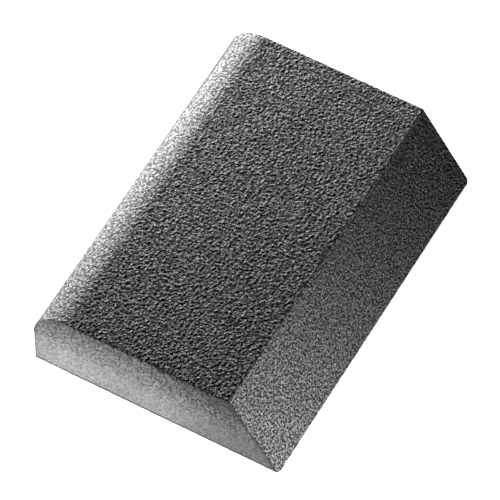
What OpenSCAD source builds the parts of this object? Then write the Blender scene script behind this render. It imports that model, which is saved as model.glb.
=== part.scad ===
// Angled foam sanding block: a flexible foam core with abrasive on its four long
// faces. The two cut ends are bare foam.
//
// Frame: millimetres, +Z up. The length runs along X, the angled side faces -Y and
// the square side with its rounded shoulder faces +Y. The origin is at the middle
// of the base, on the surface that the block rests on.

/* [Block] */
// Length of the block, from one bare foam end to the other
block_l = 125; // [90:1:160]
// Width across the base, from the toe of the angled side to the square side
block_w = 87; // [60:0.5:110]
// Thickness from the base to the top
block_t = 28; // [20:0.5:40]
// Angle of the angled side, measured up from the base
bevel_angle = 58; // [45:1:75]
// Radius of the rounded shoulder between the top and the square side
shoulder_r = 13; // [6:0.5:18]

/* [Abrasive coats] */
// Thickness of the coarse grit, which is on the top, the shoulder and the square side
coarse_t = 0.5; // [0.3:0.1:1.2]
// Thickness of the fine grit, which is on the angled side and the base
fine_t = 0.4; // [0.2:0.1:0.8]
// Thickness of the resin bond that holds the grit on the foam
bond_t = 0.1; // [0.1:0.05:0.4]

/* [Hidden] */
$fn = 96;

// A coat's depths below the outside of the block: its grit starts at the first and
// its bond at the second, and the foam starts at the third.
coarse_depth = [0, coarse_t, coarse_t + bond_t];
fine_depth = [0, fine_t, fine_t + bond_t];
grit = 0;
bond = 1;
core = 2;

// Places in the cross-section, as [y, z]
back_y = block_w / 2;
shoulder_centre = [back_y - shoulder_r, block_t - shoulder_r];

// Where the angled side, sunk by depth, is at height z
function bevel_y(z, depth) = -back_y + z / tan(bevel_angle) + depth / sin(bevel_angle);

// The corners of the cross-section under layer k, where two neighbouring faces meet
function toe(k) = [bevel_y(fine_depth[k], fine_depth[k]), fine_depth[k]];
function crest(k) = [bevel_y(block_t - coarse_depth[k], fine_depth[k]), block_t - coarse_depth[k]];
function heel(k) = [back_y - coarse_depth[k], fine_depth[k]];

// The two ends of the shoulder's arc under layer k
function shoulder_low(k) = [back_y - coarse_depth[k], shoulder_centre.y];
function shoulder_high(k) = [shoulder_centre.x, block_t - coarse_depth[k]];

// Runs a cross-section the whole length of the block
module full_length() {
    translate([-block_l / 2, 0, 0])
        rotate([90, 0, 90])
            linear_extrude(height = block_l)
                children();
}

// The quarter circle of the shoulder under layer k
module shoulder_quarter(k) {
    translate(shoulder_centre)
        intersection() {
            circle(r = shoulder_r - coarse_depth[k]);
            square(shoulder_r);
        }
}

// A layer over the top that carries on round the shoulder
module top_layer(k) {
    full_length() {
        polygon([crest(k), crest(k + 1), shoulder_high(k + 1), shoulder_high(k)]);
        difference() {
            shoulder_quarter(k);
            shoulder_quarter(k + 1);
        }
    }
}

// A layer on the square side, from the base up to the shoulder
module side_layer(k) {
    full_length()
        polygon([heel(k), heel(k + 1), shoulder_low(k + 1), shoulder_low(k)]);
}

// A layer on the angled side
module bevel_layer(k) {
    full_length()
        polygon([toe(k), toe(k + 1), crest(k + 1), crest(k)]);
}

// A layer under the base
module base_layer(k) {
    full_length()
        polygon([toe(k), toe(k + 1), heel(k + 1), heel(k)]);
}

// The flexible foam block inside the coats
module foam_core() {
    color([0.62, 0.62, 0.62])
        full_length() {
            polygon([toe(core), heel(core), shoulder_low(core), shoulder_centre,
                     shoulder_high(core), crest(core)]);
            shoulder_quarter(core);
        }
}

module top_bond() {
    color([0.16, 0.16, 0.16]) top_layer(bond);
}

module side_bond() {
    color([0.16, 0.16, 0.16]) side_layer(bond);
}

module bevel_bond() {
    color([0.16, 0.16, 0.16]) bevel_layer(bond);
}

module base_bond() {
    color([0.16, 0.16, 0.16]) base_layer(bond);
}

module top_grit() {
    color([0.32, 0.32, 0.32]) top_layer(grit);
}

module side_grit() {
    color([0.32, 0.32, 0.32]) side_layer(grit);
}

module bevel_grit() {
    color([0.38, 0.38, 0.38]) bevel_layer(grit);
}

module base_grit() {
    color([0.38, 0.38, 0.38]) base_layer(grit);
}

foam_core();
top_bond();
side_bond();
bevel_bond();
base_bond();
top_grit();
side_grit();
bevel_grit();
base_grit();
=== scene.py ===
import math

import bpy
import numpy as np
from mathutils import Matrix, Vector


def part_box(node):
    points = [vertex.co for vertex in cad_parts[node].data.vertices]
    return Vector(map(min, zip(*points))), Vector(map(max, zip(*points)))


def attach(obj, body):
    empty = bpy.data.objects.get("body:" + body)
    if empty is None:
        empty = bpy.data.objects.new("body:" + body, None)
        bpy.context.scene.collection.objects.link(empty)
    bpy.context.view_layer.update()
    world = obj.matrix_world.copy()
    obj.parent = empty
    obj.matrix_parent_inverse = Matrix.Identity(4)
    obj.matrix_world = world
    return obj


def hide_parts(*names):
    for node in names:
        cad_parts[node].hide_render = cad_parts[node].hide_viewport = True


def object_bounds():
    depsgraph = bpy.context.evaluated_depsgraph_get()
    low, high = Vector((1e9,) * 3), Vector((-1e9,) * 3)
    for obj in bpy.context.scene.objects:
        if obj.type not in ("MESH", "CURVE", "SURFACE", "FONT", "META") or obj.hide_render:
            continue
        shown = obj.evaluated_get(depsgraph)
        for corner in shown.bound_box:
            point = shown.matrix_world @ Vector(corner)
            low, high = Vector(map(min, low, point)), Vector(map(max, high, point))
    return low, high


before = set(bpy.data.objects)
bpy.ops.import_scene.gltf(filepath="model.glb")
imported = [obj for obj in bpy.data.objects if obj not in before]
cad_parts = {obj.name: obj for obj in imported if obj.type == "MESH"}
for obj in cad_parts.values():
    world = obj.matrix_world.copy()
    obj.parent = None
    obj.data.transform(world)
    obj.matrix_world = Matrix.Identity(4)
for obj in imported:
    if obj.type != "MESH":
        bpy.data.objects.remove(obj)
cad_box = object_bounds()

# An angled foam sanding block. Its four long faces carry abrasive grit in a bed of
# resin, and its two cut ends are bare foam. The length runs along X, the angled side
# faces -Y, the rounded shoulder is at +Y and the base rests on z = 0. Metres.
mm = 0.001


# ---------------------------------------------------------------- sizes from the frame

ALONG, ACROSS, UP = 0, 1, 2


def thickness_of(name, axis):
    low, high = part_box(name)
    return high[axis] - low[axis]


box_low, box_high = np.array(cad_box[0]), np.array(cad_box[1])
half_length = (box_high[ALONG] - box_low[ALONG]) / 2
back_y = box_high[ACROSS]
thickness = box_high[UP] - box_low[UP]
coarse_thick = thickness_of("side_grit", ACROSS)
fine_thick = thickness_of("base_grit", UP)
bond_thick = thickness_of("base_bond", UP)
shoulder_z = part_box("side_grit")[1][UP]
shoulder_r = thickness - shoulder_z
crest_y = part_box("top_grit")[0][ACROSS]

# Corners of the cross-section and the way each face looks, as (y, z)
toe = np.array([box_low[ACROSS], 0.0])
heel = np.array([back_y, 0.0])
crest = np.array([crest_y, thickness])
shoulder_centre = np.array([back_y - shoulder_r, shoulder_z])
bevel_run = (crest - toe) / np.linalg.norm(crest - toe)
out_of = {
    "top": np.array([0.0, 1.0]),
    "side": np.array([1.0, 0.0]),
    "base": np.array([0.0, -1.0]),
    "bevel": np.array([-bevel_run[1], bevel_run[0]]),
}
grit_thick = {"top": coarse_thick, "side": coarse_thick, "base": fine_thick, "bevel": fine_thick}

# The faces that each face has a corner with, at the start and at the end of its path.
# The top runs on round the shoulder into the square side with no corner between them.
meets = {
    "top": ("bevel", None),
    "side": (None, "base"),
    "base": ("side", "bevel"),
    "bevel": ("base", "top"),
}


# ---------------------------------------------------------------- how it was cut and worn

saw_rough = 0.1 * mm              # unevenness of the two cut ends
toe_knock = 0.9 * mm              # how far the thin toe is knocked back at the cut ends
end_sink = 0.2 * mm               # how far the bond and the foam stop short of the grit
foam_gap = 0.04 * mm              # how much further back the foam stops
bead_size = 0.06 * mm             # the most that the bond's edge swells
least_grit = 0.04 * mm            # grit left over the bond in the deepest pit
mitre_reach = 3 * mm              # near a corner, the part of a face that bends on to the mitre
lean_reach = 1.5 * mm             # near a corner, the part where relief sinks along the mitre
corner_reach = 0.5 * mm           # near a corner, the part where relief gives way to the edge
end_drop = 0.1 * mm               # how far a coat falls away at its cut ends
end_drop_reach = 0.4 * mm         # over how much of the coat it does so
fringe_cell = 0.9 * mm            # the size of one torn or hanging stretch of a cut edge
torn_near = 0.9 * mm              # the most that is torn out of the near cut edge of the top
torn_far = 0.1 * mm               # the same at the far cut edge
least_hang = 0.03 * mm            # how far every coat hangs over the foam at its cut ends
unpainted_level = 0.6                   # level of the painted light and shade where none is painted, from 0 to 1

# Every random pattern has a seed of its own, so the block comes out the same each time
saw_seed, tooth_seed, notch_seed, corner_seed, ridge_seed, fringe_seed = 11, 12, 47, 48, 49, 162
coarse_seed, fine_seed, base_seed, foam_seed = 100, 200, 250, 300
# What is added to a coat's or the foam's seed for its further patterns
bond_draw, second_draw, hill_draw, knoll_draw, chip_draw = 7, 20, 40, 41, 60


# ---------------------------------------------------------------- camera

view_azimuth = math.radians(-60.7)
view_elevation = math.radians(56.6)
view_distance = 1614 * mm
view_width = 157.67 * mm          # what the camera sees from side to side at the block
aim_right, aim_up = -1.48 * mm, 5.61 * mm


def aim_camera():
    back = Vector((math.sin(view_azimuth) * math.cos(view_elevation),
                   -math.cos(view_azimuth) * math.cos(view_elevation),
                   math.sin(view_elevation)))
    right = Vector((math.cos(view_azimuth), math.sin(view_azimuth), 0))
    up = back.cross(right)
    data = bpy.data.cameras.new("camera")
    data.sensor_width = 36
    data.lens = data.sensor_width * view_distance / view_width
    data.clip_end = 10
    camera = bpy.data.objects.new("camera", data)
    bpy.context.scene.collection.objects.link(camera)
    camera.location = right * aim_right + up * aim_up + back * view_distance
    camera.rotation_mode = "QUATERNION"
    camera.rotation_quaternion = (-back).to_track_quat("-Z", "Y")
    bpy.context.scene.camera = camera


# ---------------------------------------------------------------- chance and relief

row_factor, column_factor, seed_factor = 73856093, 19349663, 83492791
stirring_factors = (1274126177, 668265263)
dice_mask = 0xFFFFFF


def dice(i, j, seed):
    """A number from 0 to 1 that belongs to the whole-numbered place (i, j)."""
    mixed = i * row_factor + j * column_factor + seed * seed_factor
    for factor in stirring_factors:
        mixed = (mixed ^ (mixed >> 15)) * factor
    return ((mixed ^ (mixed >> 17)) & dice_mask) / (dice_mask + 1)


def ease(t):
    t = np.clip(t, 0.0, 1.0)
    return t * t * (3 - 2 * t)


def grow(place, over, starts=0.0):
    """0 as far as the place where it starts, then a smooth rise to 1 over a distance."""
    return ease((place - starts) / over)


def cells(u, v, cell):
    """Each place counted in cells, and the whole-numbered cell that it is in."""
    a, b = u / cell, v / cell
    return a, b, np.floor(a).astype(np.int64), np.floor(b).astype(np.int64)


def swell(u, v, cell, seed):
    """Smooth uneven ground from 0 to 1, with hills about two cells apart."""
    a, b, i, j = cells(u, v, cell)
    s, t = ease(a - i), ease(b - j)
    near = dice(i, j, seed) * (1 - s) + dice(i + 1, j, seed) * s
    far = dice(i, j + 1, seed) * (1 - s) + dice(i + 1, j + 1, seed) * s
    return near * (1 - t) + far * t


def ripple(u, v, cell, seed):
    """Even rippling from about -1 to 1, with no broad hills, about a cell from crest to crest."""
    crests_to_one = 1.9
    a, b, i, j = cells(u, v, cell)
    s, t = a - i, b - j
    total = 0.0
    for di in (0, 1):
        for dj in (0, 1):
            turn = 2 * math.pi * dice(i + di, j + dj, seed)
            slope = np.cos(turn) * (s - di) + np.sin(turn) * (t - dj)
            total = total + slope * ease(1 - np.abs(s - di)) * ease(1 - np.abs(t - dj))
    return total * crests_to_one


def wave(noise, along, cell, seed):
    """Swell or ripple along a single line."""
    return noise(along, along * 0, cell, seed)


def grains(u, v, cell, longest, seed):
    """Grains strewn one to a cell: their height from 0 to 1, and a tone for each grain."""
    margin, strewn = 0.1, 0.8         # how a grain's middle may lie in its cell
    lowest, taller = 0.75, 0.25       # how high the grains' tips are
    slope = 2.6                       # how fast a grain falls away round its tip
    a, b, i, j = cells(u, v, cell)
    height, tone = np.zeros_like(a), np.zeros_like(a)
    for di in (-1, 0, 1):
        for dj in (-1, 0, 1):
            p, q = i + di, j + dj
            du = a - (p + margin + strewn * dice(p, q, seed))
            dv = b - (q + margin + strewn * dice(p, q, seed + 1))
            turn = math.pi * dice(p, q, seed + 2)
            stretch = 1 + (longest - 1) * dice(p, q, seed + 3)
            lengthwise = (du * np.cos(turn) + dv * np.sin(turn)) / stretch
            sideways = dv * np.cos(turn) - du * np.sin(turn)
            tip = lowest + taller * dice(p, q, seed + 4)
            dome = tip - (lengthwise ** 2 + sideways ** 2) * slope
            wins = dome > height
            height = np.where(wins, dome, height)
            tone = np.where(wins, dice(p, q, seed + 5), tone)
    return height, tone


def ragged(y, z):
    """How far the cut ends stop short of the full length at a place of the cross-section."""
    saw_cell, tooth_cell = 1.1 * mm, 0.45 * mm
    saw_share, tooth_share = 0.65, 0.35
    saw_marks = swell(y, z, saw_cell, saw_seed)
    tooth_marks = swell(y, z, tooth_cell, tooth_seed)
    uneven = saw_share * saw_marks + tooth_share * tooth_marks
    from_toe = np.hypot(y - toe[0], z - toe[1])
    knock = 1.0 - np.clip(from_toe / toe_knock, 0, 1)
    return saw_rough * uneven + toe_knock * (1 - np.sqrt(1 - knock ** 2))


# ---------------------------------------------------------------- the cross-section

def mitre(first, second):
    """The inward step at a corner that sinks both of its faces by one unit."""
    a, b = out_of[first], out_of[second]
    return -(a + b) / (1 + a @ b)


def sunk_corner(point, first, second, depths):
    """Where a corner of the cross-section is once its two faces are sunk."""
    rows = np.array([out_of[first], out_of[second]])
    return point + np.linalg.solve(rows, -np.array(depths))


def straight(start, end, step):
    count = max(2, round(float(np.linalg.norm(end - start)) / step) + 1)
    share = np.linspace(0, 1, count)[:, None]
    return start * (1 - share) + end * share


def shoulder_bend(step):
    """The shoulder, from the top round to the square side."""
    count = max(2, round(shoulder_r * math.pi / 2 / step) + 1)
    turn = np.linspace(math.pi / 2, 0, count)[:, None]
    return shoulder_centre + shoulder_r * np.hstack([np.cos(turn), np.sin(turn)])


class Face:
    """One coated face: its path across the block, the way out of it, and its corners."""

    def __init__(self, name, step):
        self.name = name
        if name == "top":
            flat = straight(crest, np.array([shoulder_centre[0], thickness]), step)
            self.path = np.vstack([flat, shoulder_bend(step)[1:]])
            away = (self.path - shoulder_centre) / shoulder_r
            on_flat = np.arange(len(self.path)) < len(flat)
            self.out = np.where(on_flat[:, None], out_of["top"], away)
        else:
            shoulder_foot = np.array([back_y, shoulder_z])
            ends = {"side": (shoulder_foot, heel), "base": (heel, toe), "bevel": (toe, crest)}
            self.path = straight(*ends[name], step)
            self.out = np.tile(out_of[name], (len(self.path), 1))
        self.y, self.z = self.path[:, 0], self.path[:, 1]
        steps = np.linalg.norm(np.diff(self.path, axis=0), axis=1)
        self.along = np.concatenate([[0], np.cumsum(steps)])

    def corners(self):
        """For each corner: the other face, the end of the path, and how far off each place is."""
        first, last = meets[self.name]
        both = ((first, 0, self.along), (last, -1, self.along[-1] - self.along))
        return [corner for corner in both if corner[0]]

    def lean(self):
        """The inward step for one unit of depth: straight in, and mitred at the corners."""
        step = -self.out.copy()
        for other, _, distance in self.corners():
            share = 1 - grow(distance, over=lean_reach)[:, None]
            step += share * (mitre(self.name, other) + self.out)
        return step

    def under_grit(self, and_bond=False):
        """The same path under the grit, or under the bond as well."""
        def depth(face_name):
            return grit_thick[face_name] + (bond_thick if and_bond else 0)
        inner = self.path - self.out * depth(self.name)
        for other, end, distance in self.corners():
            depths = [depth(self.name), depth(other)]
            corner = sunk_corner(self.path[end], self.name, other, depths)
            share = 1 - grow(distance, over=mitre_reach)[:, None]
            inner = inner + share * (corner - inner[end])
        return inner


# ---------------------------------------------------------------- meshes

def make_piece(name, points, quads, caps=(), layers=None):
    mesh = bpy.data.meshes.new(name)
    mesh.from_pydata(points.tolist(), [], quads.tolist() + [list(cap) for cap in caps])
    mesh.update()
    for layer, values in (layers or {}).items():
        attribute = mesh.attributes.new(layer, "FLOAT", "POINT")
        attribute.data.foreach_set("value", values.astype(np.float32))
    mesh.polygons.foreach_set("use_smooth", [True] * len(mesh.polygons))
    piece = bpy.data.objects.new(name, mesh)
    bpy.context.scene.collection.objects.link(piece)
    return piece


def ring_quads(rings, count):
    """Quads between neighbouring closed rings of count points each."""
    here = np.arange(rings - 1)[:, None] * count + np.arange(count)[None]
    side = np.arange(rings - 1)[:, None] * count + (np.arange(count)[None] + 1) % count
    return np.stack([here, side, side + count, here + count], -1).reshape(-1, 4)


def wrap(name, sections, layers=None):
    """A closed solid from sections, one closed ring of points for each step of the path."""
    rings, count = sections.shape[:2]
    caps = [np.arange(count)[::-1], np.arange(count) + (rings - 1) * count]
    flat = {key: values.reshape(-1) for key, values in (layers or {}).items()}
    return make_piece(name, sections.reshape(-1, 3), ring_quads(rings, count), caps, flat)


# ---------------------------------------------------------------- grit coats

def corner_depth(x, first, second):
    """The depth of the edge where two coats meet: uneven at the crest, worn flat below."""
    if "top" in (first, second):
        least, uneven_near, calmer_far = 0.03, 0.34, 0.2
        notch_cell, notch_middle, notch_swing = 1.0 * mm, 0.5, 0.7
        uneven = uneven_near - calmer_far * grow(x, over=40 * mm)
        notches = notch_middle + notch_swing * wave(ripple, x, notch_cell, notch_seed)
        return (least + uneven * np.clip(notches, 0, 1)) * mm
    least, uneven, worn_cell = 0.01, 0.06, 0.7 * mm
    return (least + uneven * wave(swell, x, worn_cell, corner_seed)) * mm


def ridge(x, from_crest):
    """A thin raised line along the far part of the crest, with gaps in it; its raised height also pales
    its colour, as part of the painted highlight along the crest.
    """
    strength, width = 0.9, 0.55 * mm
    gap_cell, gap_level, gap_blur = 4.0 * mm, 0.3, 0.2
    unbroken = grow(wave(swell, x, gap_cell, ridge_seed), starts=gap_level, over=gap_blur)
    whole = unbroken * grow(x, over=20 * mm)
    return strength * whole[:, None] * (1 - grow(from_crest, over=width))[None]


def coat_relief(face, x, spec, seed):
    """Depth of the grit's surface below its tips, with its height and tone layers."""
    hill_cell, knoll_cell = 4.2 * mm, 2.1 * mm
    hill_share, knoll_share = 0.6, 0.4
    usual_grain, middle = 0.6, 0.5
    u, v = np.meshgrid(x, face.along + spec["shift"], indexing="ij")
    big, tone = grains(u, v, spec["grain"], spec["longest"], seed)
    rough = ripple(u, v, spec["grain"] * spec["ripple_cell"], seed + second_draw)
    hills = swell(u, v, hill_cell, seed + hill_draw)
    knolls = swell(u, v, knoll_cell, seed + knoll_draw)
    ground = hills * hill_share + knolls * knoll_share
    height = spec["big"] * (big - usual_grain) + spec["ripple"] * rough
    height = height + spec["ground"] * (ground - middle)
    height = np.clip(middle + height, 0, 1)
    if face.name == "top":
        height = height + (1 - height) * ridge(x, face.along)
    depth = spec["depth"] * (1 - height)
    for other, _, distance in face.corners():
        share = 1 - grow(distance, over=corner_reach)[None, :]
        edge = corner_depth(x, face.name, other)[:, None]
        depth = depth * (1 - share) + edge * share
    from_end = (half_length - np.abs(x))[:, None]
    near_flat = (x < 0)[:, None] * (face.name == "top")
    depth = depth + end_drop * (1 - grow(from_end, over=end_drop_reach)) * (1 - near_flat)
    return depth, height, tone


def painted_shading_at(face, x):
    """The painted light and shade at each place: painted shade on the square side and the lower
    shoulder, a painted highlight along the far crest, and the unpainted level elsewhere.
    """
    if face.name == "base":
        return np.full((len(face.y), 1), unpainted_level)
    # painted shade on the lower shoulder and the square side, beyond these angles round the shoulder
    near_limit, far_shift, limit_blur = 65, 17, 9        # degrees round the shoulder
    crest_highlight_strength, crest_width = 0.9, 1.1 * mm
    round_shoulder = np.degrees(np.arctan2(face.y - shoulder_centre[0], face.z - shoulder_centre[1]))
    limit = near_limit - far_shift * grow(x, starts=-40 * mm, over=100 * mm)
    past_limit = grow(round_shoulder[:, None], starts=limit[None], over=limit_blur)
    on_side = past_limit * (face.y > shoulder_centre[0])[:, None]
    # a painted highlight along the far part of the crest
    from_crest = np.hypot(face.y - crest[0], face.z - crest[1])
    far_part = grow(x, starts=-10 * mm, over=40 * mm)
    crest_highlight = crest_highlight_strength * (1 - grow(from_crest, over=crest_width))[:, None] * far_part[None]
    return unpainted_level * (1 - on_side) + crest_highlight


def fringe(face):
    """How a coat's cut edge wanders: above 0 its grains hang over, below 0 they are torn out."""
    swing = 1.6
    return np.clip(swing * wave(ripple, face.along, fringe_cell, fringe_seed), -1, 1)


def cut_ends(face):
    """How far a coat reaches at its near and far ends: grains have torn out of the near one."""
    stop = half_length - ragged(face.y, face.z)
    off_shoulder = grow(shoulder_centre[0] - face.y, over=4 * mm)
    off_crest = grow(face.along, over=2 * mm)
    on_flat = (face.name == "top") * off_shoulder
    torn = on_flat * off_crest * np.clip(-fringe(face), 0, 1)
    return stop - torn_near * torn, stop - torn_far * torn


def coat_lip(face, hang, seed):
    """A coat's rim at a cut end, from its outer face in to its back: for each row of points,
    the share of the way in, the place it goes to, and how far it steps back from the cut."""
    chip_depth, chip_cell, rim_step = 0.15 * mm, 0.35 * mm, 0.05 * mm
    at_corner, from_corner = 0.1, 0.9
    back = face.under_grit()
    chipped = chip_depth * wave(swell, face.along, chip_cell, seed + chip_draw)
    hanging = least_hang + hang * np.clip(fringe(face), 0, 1)
    for _, _, distance in face.corners():
        hanging = hanging * (at_corner + from_corner * grow(distance, over=2 * mm))
    over_foam = back - face.out * hanging[:, None]
    halfway, all_the_way = 0.5, 1.0
    return [(halfway, back, chipped), (all_the_way, over_foam, rim_step),
            (all_the_way, over_foam, end_sink), (all_the_way, back, end_sink)]


def coat_layers(face, x, share, lip_rows, height, tone):
    """Painted light and shade, height and tone at each point of a coat. A rim takes them from its own
    edge, but rims round the shoulder are painted light and the coats get painted shade near the cut
    ends.
    """
    end_shade_starts, end_shade_reach, end_shade_strength = 0.1 * mm, 0.5 * mm, 0.8
    past_crown = 1 * mm               # the rims are painted light from here round the shoulder
    count = len(share)
    far_rim = slice(count, count + lip_rows)
    near_rim = slice(count + lip_rows, count + 2 * lip_rows)
    pale = 1.0 * (face.y > shoulder_centre[0] + past_crown)
    # painted shade on each coat near its far cut end, and near its near cut end on the bevel and the
    # base
    end_shade = 1 - grow(half_length - np.abs(x), starts=end_shade_starts, over=end_shade_reach)
    end_shade = end_shade * np.where(x > 0, 1, (1 - pale[:, None]) * (face.name != "top"))
    places = np.append(share, np.repeat([1, -1], lip_rows)) * half_length
    painted_shading = painted_shading_at(face, places) * (1 - end_shade_strength * end_shade)
    # painted light on the near rims round the shoulder
    painted_shading[:, near_rim] = np.maximum(painted_shading[:, near_rim], unpainted_level * pale[:, None])
    layers = {"painted_shading": painted_shading}
    for key, values in (("height", height), ("tone", tone)):
        grid = np.zeros(x.shape)
        grid[:, :count] = values.T
        # the rims round the shoulder are painted light through their height and tone
        grid[:, far_rim] = np.maximum(values[-1], pale)[:, None]
        grid[:, near_rim] = np.maximum(values[0], pale)[:, None]
        layers[key] = grid
    return layers


def make_coat(name, face, spec, seed):
    """A grit coat: a rough outer face, cut ends where grains hang over, and a plain back."""
    count = round(2 * half_length / spec["step"]) + 1
    share = np.linspace(-1, 1, count)
    depth, height, tone = coat_relief(face, share * half_length, spec, seed)
    depth = np.minimum(depth, grit_thick[face.name] - least_grit)
    outer = face.path[None] + face.lean()[None] * depth[..., None]
    stop_near, stop_far = cut_ends(face)
    lip = coat_lip(face, spec["hang"], seed)
    points = np.zeros((len(face.path), count + 2 * len(lip), 3))
    points[:, :count, 0] = share * np.where(share > 0, stop_far[:, None], stop_near[:, None])
    points[:, :count, 1:] = np.swapaxes(outer, 0, 1)
    for k, (part, place, short) in enumerate(lip):
        far_column, near_column = count + k, count + 2 * len(lip) - 1 - k
        points[:, far_column, 0] = stop_far - short
        points[:, near_column, 0] = short - stop_near
        points[:, far_column, 1:] = outer[-1] * (1 - part) + place * part
        points[:, near_column, 1:] = outer[0] * (1 - part) + place * part
    layers = coat_layers(face, points[..., 0], share, len(lip), height, tone)
    return wrap(name, points[:, ::-1], {key: grid[:, ::-1] for key, grid in layers.items()})


# ---------------------------------------------------------------- resin bonds and foam

def make_bond(name, face, seed):
    """The resin bed between a grit coat and the foam, with ragged ends."""
    outer, inner = face.under_grit(), face.under_grit(and_bond=True)
    stop_near, stop_far = cut_ends(face)
    bead_cell = 0.8 * mm
    bead = bead_size * wave(swell, face.along, bead_cell, seed)
    halfway = 0.5
    near, far = -1, 1
    rim = ((0, near), (0, far), (halfway, far), (1, far), (1, near), (halfway, near))
    points = np.zeros((len(face.path), len(rim), 3))
    for k, (part, sign) in enumerate(rim):
        stop = stop_far if sign == far else stop_near
        short = bead_size - bead if part == halfway else bead_size
        points[:, k, 0] = sign * (stop - end_sink - short)
        points[:, k, 1:] = outer * (1 - part) + inner * part
    return wrap(name, points[:, ::-1])


def foam_grid(step):
    """The foam's cross-section as a grid of (y, z), from the base up and from front to back."""
    sunk = grit_thick["base"] + bond_thick
    back = grit_thick["side"] + bond_thick
    radius = shoulder_r - back
    low_toe = sunk_corner(toe, "base", "bevel", [sunk, sunk])
    high_crest = sunk_corner(crest, "bevel", "top", [sunk, back])
    rows = round((shoulder_z - low_toe[1]) / step)
    turn = np.linspace(0, math.pi / 2, round(radius * math.pi / 2 / step) + 1)
    z = np.concatenate([np.linspace(low_toe[1], shoulder_z, rows, endpoint=False),
                        shoulder_z + radius * np.sin(turn)])
    right = np.concatenate([np.full(rows, back_y - back),
                            shoulder_centre[0] + radius * np.cos(turn)])
    rise = (z - low_toe[1]) / (high_crest[1] - low_toe[1])
    left = low_toe[0] + rise * (high_crest[0] - low_toe[0])
    share = np.linspace(0, 1, round(2 * back_y / step))[:, None]
    return left[None] * (1 - share) + right[None] * share, np.tile(z, (len(share), 1))


def soak_and_shade_at(y, z):
    """How dark the foam's cut ends are made: partly resin soaked in, partly painted shade; more under
    the top, towards the angled side, and most at the crest.
    """
    y, z = y / mm, z / mm
    under_top = 0.6 * grow(z, starts=8, over=17)
    to_the_front = 0.4 * grow(z, starts=6, over=18) * ease(1 - (y + 20) / 40)
    at_the_crest = 0.35 * grow(z, starts=22, over=4) * ease(1 - (y + 20) / 30)
    return under_top + to_the_front + at_the_crest


def steps_from_edge(across, up):
    """For each point of a grid, how many steps it is from the grid's nearest edge."""
    row, column = np.arange(across)[:, None], np.arange(up)[None]
    return np.minimum(np.minimum(row, row[::-1]), np.minimum(column, column[:, ::-1]))


def make_foam(name, step, seed):
    """The foam body: two pitted cut ends joined by plain sides under the bond."""
    pit_depth = 0.15 * mm
    large_cell, large_stretch, large_share = 0.75 * mm, 1.4, 0.55
    small_cell, small_stretch, small_share = 0.42 * mm, 1.3, 0.45
    y, z = foam_grid(step)
    across, up = y.shape
    large = grains(y, z, large_cell, large_stretch, seed)[0]
    small = grains(y, z, small_cell, small_stretch, seed + second_draw)[0]
    height = np.clip(large_share * large + small_share * small, 0, 1)
    inward = pit_depth * (1 - height)
    inward = inward * grow(steps_from_edge(across, up), over=2.0) + end_sink + foam_gap
    stop = half_length - ragged(y, z) - inward
    ends = [np.stack([sign * stop, y, z], -1).reshape(-1, 3) for sign in (-1, 1)]
    index = np.arange(across * up).reshape(across, up)
    face = np.stack([index[:-1, :-1], index[:-1, 1:], index[1:, 1:], index[1:, :-1]], -1)
    face = face.reshape(-1, 4)
    loop = np.concatenate([index[:-1, 0], index[-1, :-1], index[1:, -1][::-1], index[0, 1:][::-1]])
    far_end = across * up
    follow = np.roll(loop, -1)
    sides = np.stack([loop, follow, follow + far_end, loop + far_end], -1)
    quads = np.vstack([face, face[:, ::-1] + far_end, sides])
    layers = {"soak_and_shade": soak_and_shade_at(y, z), "height": height}
    on_both_ends = {key: np.tile(values.reshape(-1), 2) for key, values in layers.items()}
    return make_piece(name, np.vstack(ends), quads, layers=on_both_ends)


# ---------------------------------------------------------------- materials

class Wire:
    """A value in a finish's nodes that can be used in plain arithmetic."""

    def __init__(self, finish, socket):
        self.finish, self.socket = finish, socket

    def math(self, operation, *values):
        return self.finish.node("ShaderNodeMath", {"operation": operation}, dict(enumerate(values)))

    def __add__(self, other):
        return self.math("ADD", self, other)

    def __sub__(self, other):
        return self.math("SUBTRACT", self, other)

    def __rsub__(self, other):
        return self.math("SUBTRACT", other, self)

    def __mul__(self, other):
        return self.math("MULTIPLY", self, other)

    __radd__, __rmul__ = __add__, __mul__


class Finish:
    """A material and its nodes."""

    def __init__(self, name):
        self.material = bpy.data.materials.new(name)
        self.material.use_nodes = True
        self.nodes = self.material.node_tree.nodes
        self.nodes.clear()
        self.shader = self.nodes.new("ShaderNodeBsdfPrincipled")
        output = self.nodes.new("ShaderNodeOutputMaterial")
        self.material.node_tree.links.new(self.shader.outputs[0], output.inputs["Surface"])

    def feed(self, socket, value):
        if isinstance(value, Wire):
            self.material.node_tree.links.new(value.socket, socket)
        else:
            socket.default_value = value

    def node(self, kind, settings=None, inputs=None, output=0):
        node = self.nodes.new(kind)
        for key, value in (settings or {}).items():
            setattr(node, key, value)
        for key, value in (inputs or {}).items():
            self.feed(node.inputs[key], value)
        return Wire(self, node.outputs[output])

    def layer(self, name):
        return self.node("ShaderNodeAttribute", {"attribute_name": name}, output="Fac")

    def place(self):
        return self.node("ShaderNodeTexCoord", output="Object")

    def cloud(self, scale, detail=2.0):
        inputs = {"Vector": self.place(), "Scale": scale, "Detail": detail}
        return self.node("ShaderNodeTexNoise", inputs=inputs)

    def span(self, value, low, high, to_low=0.0, to_high=1.0):
        """The value's range from low to high, stretched to another range and held there."""
        return self.node("ShaderNodeMapRange", inputs={0: value, 1: low, 2: high, 3: to_low, 4: to_high})

    def blend(self, share, first, second):
        colours = {0: share, 6: first, 7: second}
        return self.node("ShaderNodeMix", {"data_type": "RGBA"}, colours, output=2)

    def bump(self, height, strength, distance):
        inputs = {"Height": height, "Strength": strength, "Distance": distance}
        return self.node("ShaderNodeBump", inputs=inputs)

    def use(self, **values):
        for key, value in values.items():
            self.feed(self.shader.inputs[key.replace("_", " ")], value)
        return self.material


def grey(level):
    return (level, level, level, 1)


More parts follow.
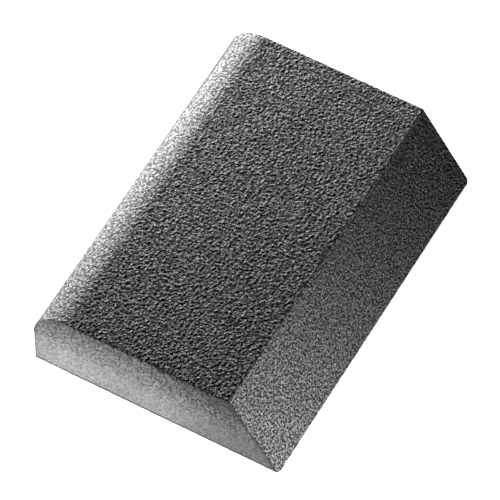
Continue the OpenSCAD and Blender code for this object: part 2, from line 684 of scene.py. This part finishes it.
def grit_finish(name, grain, dark, light, bright, contrast, deep, flecks, bite):
    """Mineral grains in cured resin: dark resin in the pits with painted shade there as well, greyer on
    the tips, and painted glints on a few bright facets.
    The speckle has its contrast, deep says how much painted shade the relief gives the pits, flecks is
    the share of facets with painted glints, and bite is how sharply the grains' facets stand up."""
    speck_scale, bump_scale, facet_scale = 1.1 / grain, 1.3 / grain, 1.7 / grain
    all_dark, all_light = -0.45, 0.65
    # how far the painted light and shade darken or lighten the grit
    most_shade, most_light = 0.1, 1.6
    pit_level, tip_level = 0.2, 0.6
    dull, glossy = 0.85, 0.6
    tone_share = 0.3
    f = Finish(name)
    height, tone = f.layer("height"), f.layer("tone")
    speck = f.cloud(speck_scale, 1.0)
    # darker in the pits: partly the dark resin, partly painted shade
    lit = (height - 0.5) * deep + (speck - 0.5) * contrast + (tone - 0.5) * tone_share
    lit = f.span(lit, all_dark, all_light)
    # painted light and shade: painted shade on the square side and near the cut ends, painted highlights
    # along the far crest and on the shoulder rims
    painted_shading = f.layer("painted_shading")
    lit = lit * f.span(painted_shading, 0.0, 1.0, to_low=most_shade, to_high=most_light)
    colour = f.blend(lit, grey(dark), grey(light))
    # painted glints on a few bright facets at the grain tips, which are also glossier
    facets = f.span(f.cloud(facet_scale, 0.0), 0.8 - flecks, 0.88 - flecks)
    glint_and_gloss = facets * f.span(height, pit_level, tip_level)
    glint_and_gloss = glint_and_gloss * f.span(painted_shading, 0.0, unpainted_level, to_low=0.2, to_high=1.0)
    colour = f.blend(glint_and_gloss, colour, grey(bright))
    rough = f.span(glint_and_gloss + tone * tone_share, 0.0, 1.0, to_low=dull, to_high=glossy)
    bump = f.bump(f.cloud(bump_scale, 1.0), 1.0, bite * grain)
    return f.use(Base_Color=colour, Roughness=rough, Normal=bump)


def foam_finish():
    """Open-celled foam: pale cell walls with painted shade in the cells and pits, and darker towards the
    top and the angled side, partly from resin soaked in and partly painted shade.
    """
    pale_foam, dark_foam = grey(0.78), grey(0.1)
    cell_scale, speckle_scale = 1 / (0.5 * mm), 1 / (0.65 * mm)
    plain_speckle, soak_and_shade_speckle = 2.8, 10.0
    relief_share, cell_share, soak_and_shade_share = 0.3, 0.4, 0.5
    all_dark, all_pale = -0.8, 1.5
    f = Finish("cut_foam")
    inputs = {"Vector": f.place(), "Scale": cell_scale}
    cell_walls = f.node("ShaderNodeTexVoronoi", {"feature": "F1"}, inputs)
    strength = f.layer("soak_and_shade") * soak_and_shade_speckle + plain_speckle
    speckle = (f.cloud(speckle_scale, 1.0) - 0.5) * strength
    # painted shade in the pits and in the cells
    pale = f.layer("height") * relief_share + cell_walls * cell_share + speckle
    colour = f.blend(f.span(pale, all_dark, all_pale), dark_foam, pale_foam)
    # darker towards the top and the angled side: partly resin soaked in, partly painted shade
    colour = f.blend(f.layer("soak_and_shade") * soak_and_shade_share, colour, dark_foam)
    bump = f.bump(cell_walls, 0.9, 0.2 * mm)
    return f.use(Base_Color=colour, Roughness=0.9, Normal=bump)


def resin_finish():
    """Cured resin: a dark, slightly glossy and slightly lumpy bed."""
    mottle_scale, lump_scale = 1 / (0.6 * mm), 1 / (0.3 * mm)
    f = Finish("cured_resin")
    colour = f.blend(f.cloud(mottle_scale, 3.0), grey(0.06), grey(0.2))
    lumps = f.bump(f.cloud(lump_scale), 0.5, 0.05 * mm)
    return f.use(Base_Color=colour, Roughness=0.45, Normal=lumps)


# ---------------------------------------------------------------- the block

# step: spacing of the points. grain, longest: the grains' size and greatest stretch. big,
# ripple, ground: the shares of grains, roughness and broad hills in the relief. depth: from
# tips to pits. hang: how far grains hang over the cut ends. shift: where the pattern starts.
coarse = {
    "step": 0.315 * mm, "grain": 0.8 * mm, "longest": 1.4,
    "big": 0.35, "ripple": 0.4, "ripple_cell": 1.0, "ground": 0.12,
    "depth": 0.23 * mm, "hang": 1.7 * mm, "shift": 0.0,
}
fine = {
    "step": 0.27 * mm, "grain": 0.62 * mm, "longest": 1.3,
    "big": 0.15, "ripple": 0.6, "ripple_cell": 1.05, "ground": 0.05,
    "depth": 0.35 * mm, "hang": 0.1 * mm, "shift": 500 * mm,
}


def coarse_grit_finish():
    return grit_finish("coarse_grit_finish", grain=0.76 * mm, dark=0.005, light=0.27, bright=0.34,
                       contrast=4.0, deep=2.8, flecks=0.1, bite=0.35)


def fine_grit_finish():
    return grit_finish("fine_grit_finish", grain=0.58 * mm, dark=0.004, light=0.35, bright=0.5,
                       contrast=2.0, deep=1.35, flecks=0.14, bite=1.8)


def dress(piece, node, look):
    """Gives a piece its finish and puts it in the place of the part it stands for."""
    piece.data.materials.append(look)
    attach(piece, "root")
    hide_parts(node)


def coat_face(face_name, spec, seed, look, resin):
    """Lays the grit of one face, and the resin bed under it."""
    face = Face(face_name, spec["step"])
    coat = make_coat(face_name + "_grit_coat", face, spec, seed)
    dress(coat, face_name + "_grit", look)
    bond = make_bond(face_name + "_bond_coat", face, seed + bond_draw)
    dress(bond, face_name + "_bond", resin)
    return coat


def build_block():
    coarse_look = coarse_grit_finish()
    fine_look = fine_grit_finish()
    resin = resin_finish()
    foam = make_foam("foam_body", 0.3 * mm, foam_seed)
    dress(foam, "foam_core", foam_finish())
    top_run = Face("top", coarse["step"]).along[-1]
    side_coarse = dict(coarse, shift=top_run, hang=fine["hang"])
    base_fine = dict(fine, step=0.36 * mm)
    top_coat = coat_face("top", coarse, coarse_seed, coarse_look, resin)
    coat_face("side", side_coarse, coarse_seed, coarse_look, resin)
    coat_face("bevel", fine, fine_seed, fine_look, resin)
    coat_face("base", base_fine, base_seed, fine_look, resin)
    return foam, top_coat


# ---------------------------------------------------------------- floor and light

def make_floor():
    f = Finish("pale_floor")
    f.use(Base_Color=grey(0.9), Roughness=0.9, Emission_Color=grey(1.0), Emission_Strength=1.0)
    reach = 4.0
    corners = np.array([[-reach, -reach, 0], [reach, -reach, 0], [reach, reach, 0], [-reach, reach, 0]])
    floor = make_piece("floor", corners, np.array([[0, 1, 2, 3]]))
    floor.data.materials.append(f.material)
    floor.visible_diffuse = floor.visible_glossy = False


def lamp(name, aim, azimuth, elevation, distance, size, power):
    """A square soft light, aimed at a place on the block."""
    data = bpy.data.lights.new(name, "AREA")
    data.size, data.energy = size, power
    light = bpy.data.objects.new(name, data)
    bpy.context.scene.collection.objects.link(light)
    a, e = math.radians(azimuth), math.radians(elevation)
    out = Vector((math.sin(a) * math.cos(e), -math.cos(a) * math.cos(e), math.sin(e)))
    light.location = Vector(aim) + out * distance
    light.rotation_mode = "QUATERNION"
    light.rotation_quaternion = out.to_track_quat("Z", "Y")
    light.visible_camera = False
    return light


def leave_dark(light, *pieces):
    """Keeps a light off these pieces."""
    skipped = bpy.data.collections.new(light.name + "_skips")
    light.light_linking.receiver_collection = skipped
    for piece in pieces:
        skipped.objects.link(piece)
    for linked in skipped.collection_objects:
        linked.light_linking.link_state = "EXCLUDE"


def make_room():
    """Plain white surroundings that are seen but don't light the block."""
    world = bpy.data.worlds.new("soft_room")
    world.use_nodes = True
    world.node_tree.nodes["Background"].inputs["Color"].default_value = grey(1.0)
    world.node_tree.nodes["Background"].inputs["Strength"].default_value = 1.0
    world.cycles_visibility.diffuse = world.cycles_visibility.glossy = False
    bpy.context.scene.world = world
    bpy.context.scene.view_settings.view_transform = "Standard"


def light_block(foam, top_coat):
    """A low key light from behind the shoulder, and fills for the angled side and far end."""
    far_shoulder = (45 * mm, 40 * mm, 18 * mm)
    mid_shoulder = (18 * mm, 40 * mm, 18 * mm)
    near_toe = (-55 * mm, -40 * mm, 10 * mm)
    far_end = (62 * mm, 0, 12 * mm)
    key = lamp("key_behind", far_shoulder, azimuth=135, elevation=8,
               distance=0.5, size=0.12, power=13.2)
    leave_dark(key, foam)
    lamp("key_shoulder", mid_shoulder, azimuth=165, elevation=15,
         distance=0.12, size=0.04, power=0.22)
    lamp("fill_toe", near_toe, azimuth=-20, elevation=1,
         distance=0.08, size=0.04, power=0.123)
    side_fill = lamp("fill_angled_side", near_toe, azimuth=-60, elevation=8,
                     distance=0.12, size=0.04, power=0.18)
    leave_dark(side_fill, foam, top_coat)
    lamp("fill_far_end", far_end, azimuth=90, elevation=0,
         distance=0.15, size=0.03, power=0.2)


def light_near_end():
    """Weak lamps near the floor, aimed up at places along the near cut end."""
    end_x, end_z, toe_z = -62 * mm, 12 * mm, 10 * mm
    lamp("foot_back", (end_x, 38 * mm, end_z), azimuth=-126, elevation=-17,
         distance=0.029, size=0.02, power=0.0046)
    lamp("foot_middle", (end_x, 21 * mm, end_z), azimuth=-112, elevation=-20,
         distance=0.026, size=0.02, power=0.0053)
    lamp("foot_front", (end_x, 0, end_z), azimuth=-90, elevation=-21,
         distance=0.0245, size=0.02, power=0.0047)
    lamp("foot_toe", (end_x, -20 * mm, toe_z), azimuth=-80, elevation=-21,
         distance=0.0245, size=0.02, power=0.0012)


aim_camera()
foam, top_coat = build_block()
make_floor()
make_room()
light_block(foam, top_coat)
light_near_end()
